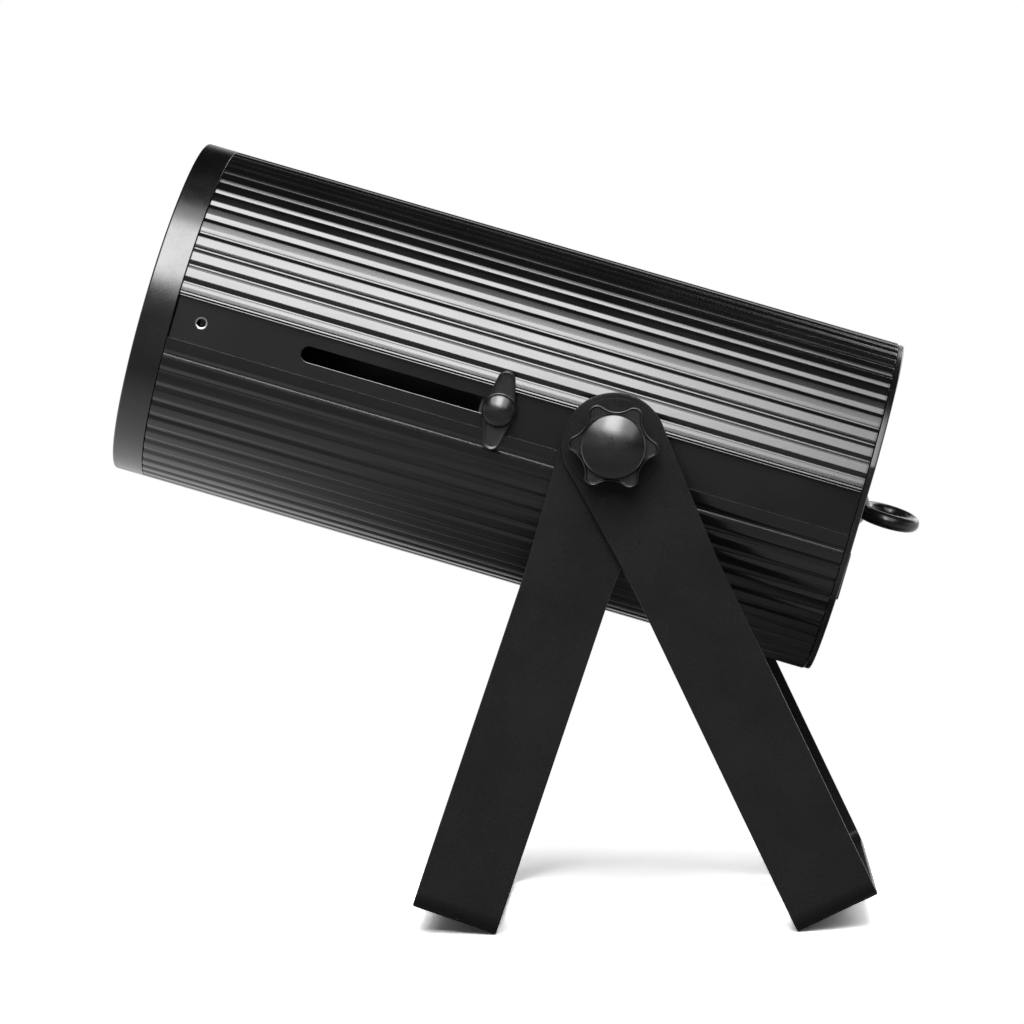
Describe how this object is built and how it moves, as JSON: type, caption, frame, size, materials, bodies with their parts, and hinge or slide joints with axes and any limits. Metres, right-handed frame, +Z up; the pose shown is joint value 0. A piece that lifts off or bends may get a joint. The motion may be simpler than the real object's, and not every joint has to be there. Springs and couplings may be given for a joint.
{
  "type": "led house light",
  "caption": "LED house light: ribbed black tube head with a sliding zoom lens, a wing knob in a slot, star clamping knobs and a double strap yoke that folds or stands as an A-frame.",
  "frame": {"origin": "centre of the bounding box on the floor, under the middle of the light as it stands on its two yokes", "axes": "+Z up; the head points to -Y, tilted up by 17.3 degrees, with its rear panel towards +Y; +X is the left of someone who stands in front and looks at the glass"},
  "size_m": [0.3318, 0.523, 0.5038],
  "materials": {
    "shell_black": "satin",
    "yoke_black": "satin",
    "knob_black": "satin",
    "cap_black": "satin",
    "fibre": "matte",
    "zinc_steel": "satin",
    "black_steel": "satin",
    "bare_aluminium": "satin",
    "clear_glass": "gloss",
    "lens_acrylic": "gloss",
    "silicone": "matte",
    "board_green": "satin",
    "board_white": "satin",
    "phosphor": "satin",
    "mirror_finish": "polished",
    "case_grey": "satin",
    "window_dark": "gloss",
    "button_grey": "matte",
    "socket_black": "satin"
  },
  "bodies": {
    "base": {"front_yoke": "yoke_black", "friction_washer_left": "fibre", "friction_washer_right": "fibre"},
    "rear_yoke": {"rear_yoke": "yoke_black"},
    "zoom_carriage": {"lens_cell": "shell_black", "fresnel_lens": "lens_acrylic", "lens_retaining_ring": "black_steel", "slide_block": "zinc_steel"},
    "star_knob_left": {"star_knob_left": "knob_black", "star_knob_cap_left": "cap_black"},
    "star_knob_right": {"star_knob_right": "knob_black", "star_knob_cap_right": "cap_black"},
    "wing_knob": {"wing_knob": "knob_black", "wing_stud": "zinc_steel"},
    "menu_button_1": {"menu_button_1": "button_grey"},
    "menu_button_2": {"menu_button_2": "button_grey"},
    "menu_button_3": {"menu_button_3": "button_grey"},
    "menu_button_4": {"menu_button_4": "button_grey"},
    "head": {"control_board": "board_green", "data_input": "socket_black", "data_output": "socket_black", "display_window": "window_dark", "driver_tray": "bare_aluminium", "eye_bolt": "yoke_black", "eye_bolt_nut": "zinc_steel", "front_glass": "clear_glass", "front_ring": "shell_black", "fuse_holder": "socket_black", "glass_gasket": "silicone", "glass_retaining_ring": "black_steel", "guide_rod_bottom": "zinc_steel", "guide_rod_top": "zinc_steel", "heat_sink": "bare_aluminium", "led_board": "board_white", "led_driver": "case_grey", "led_emitter": "phosphor", "led_mount_plate": "bare_aluminium", "lower_shell": "shell_black", "outer_washer_left": "fibre", "outer_washer_right": "fibre", "pivot_block_left": "zinc_steel", "pivot_block_right": "zinc_steel", "pivot_spacer_left": "shell_black", "pivot_spacer_right": "shell_black", "pivot_stud_left": "zinc_steel", "pivot_stud_right": "zinc_steel", "power_inlet": "socket_black", "power_outlet": "socket_black", "rear_plate": "shell_black", "rear_plate_screw_1": "black_steel", "rear_plate_screw_2": "black_steel", "rear_plate_screw_3": "black_steel", "rear_plate_screw_4": "black_steel", "reflector": "mirror_finish", "upper_shell": "shell_black"}
  },
  "joints": [
    {"name": "head_tilt", "type": "hinge", "parent": "base", "child": "head", "pos_m": [0, 0.06675, 0.30684], "axis": [1, 0, 0], "range_deg": [-130, 58]},
    {"name": "yoke_spread", "type": "hinge", "parent": "base", "child": "rear_yoke", "pos_m": [0, 0.06675, 0.30684], "axis": [1, 0, 0], "range_deg": [-44.1, 60]},
    {"name": "zoom_slide", "type": "slide", "parent": "head", "child": "zoom_carriage", "axis": [0, -0.9548, 0.2974], "range_m": [0, 0.125]},
    {"name": "star_knob_turn_left", "type": "hinge", "parent": "head", "child": "star_knob_left", "pos_m": [-0.1399, 0.06675, 0.30684], "axis": [1, 0, 0], "continuous": true},
    {"name": "star_knob_turn_right", "type": "hinge", "parent": "head", "child": "star_knob_right", "pos_m": [0.1399, 0.06675, 0.30684], "axis": [1, 0, 0], "continuous": true},
    {"name": "wing_knob_turn", "type": "hinge", "parent": "zoom_carriage", "child": "wing_knob", "pos_m": [0.1048, -0.00533, 0.32929], "axis": [1, 0, 0], "continuous": true},
    {"name": "menu_button_press_1", "type": "slide", "parent": "head", "child": "menu_button_1", "axis": [0, -0.9548, 0.2974], "range_m": [0, 0.0012], "stiffness_N_per_m": 1500, "springref_m": -0.0005},
    {"name": "menu_button_press_2", "type": "slide", "parent": "head", "child": "menu_button_2", "axis": [0, -0.9548, 0.2974], "range_m": [0, 0.0012], "stiffness_N_per_m": 1500, "springref_m": -0.0005},
    {"name": "menu_button_press_3", "type": "slide", "parent": "head", "child": "menu_button_3", "axis": [0, -0.9548, 0.2974], "range_m": [0, 0.0012], "stiffness_N_per_m": 1500, "springref_m": -0.0005},
    {"name": "menu_button_press_4", "type": "slide", "parent": "head", "child": "menu_button_4", "axis": [0, -0.9548, 0.2974], "range_m": [0, 0.0012], "stiffness_N_per_m": 1500, "springref_m": -0.0005}
  ]
}
